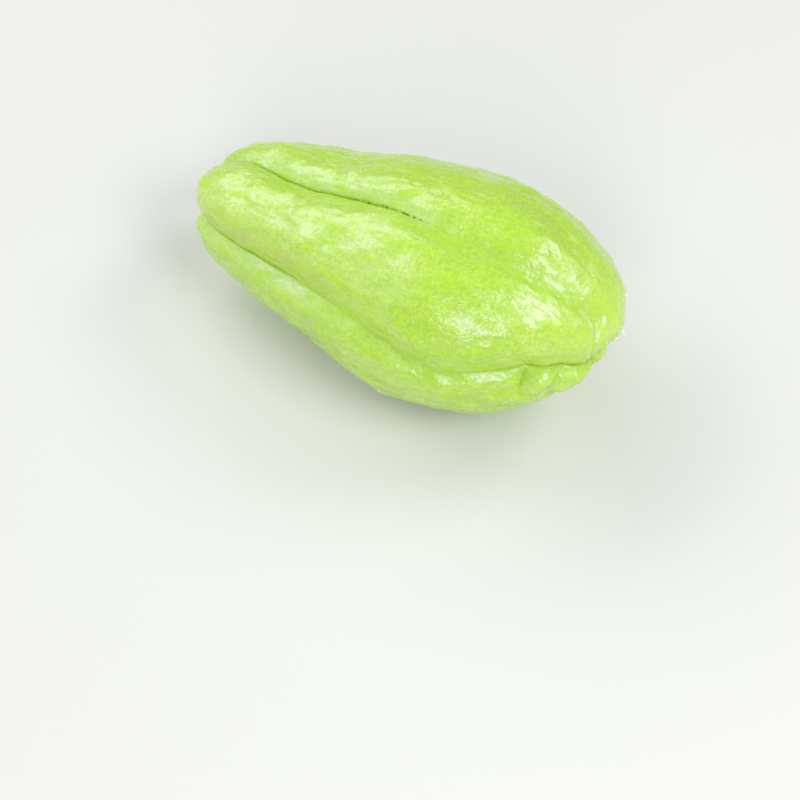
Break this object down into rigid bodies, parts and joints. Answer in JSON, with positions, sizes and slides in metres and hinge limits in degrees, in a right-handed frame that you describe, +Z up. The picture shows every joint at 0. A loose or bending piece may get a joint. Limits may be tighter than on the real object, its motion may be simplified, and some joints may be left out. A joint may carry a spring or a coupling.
{
  "type": "chayote squash",
  "caption": "Pear-shaped pale green squash with rounded lengthwise lobes, furrows between them and a puckered blossom end, lying on its side.",
  "frame": {"origin": "centre of the box round the fruit, at the height of the surface that the fruit lies on", "axes": "+X from the stem end to the blossom end, -Y towards the side seen in front, +Z up"},
  "size_m": [0.1622, 0.0878, 0.0754],
  "materials": {
    "skin": "satin waxy skin"
  },
  "bodies": {
    "root": {"fruit": "skin"}
  },
  "joints": []
}
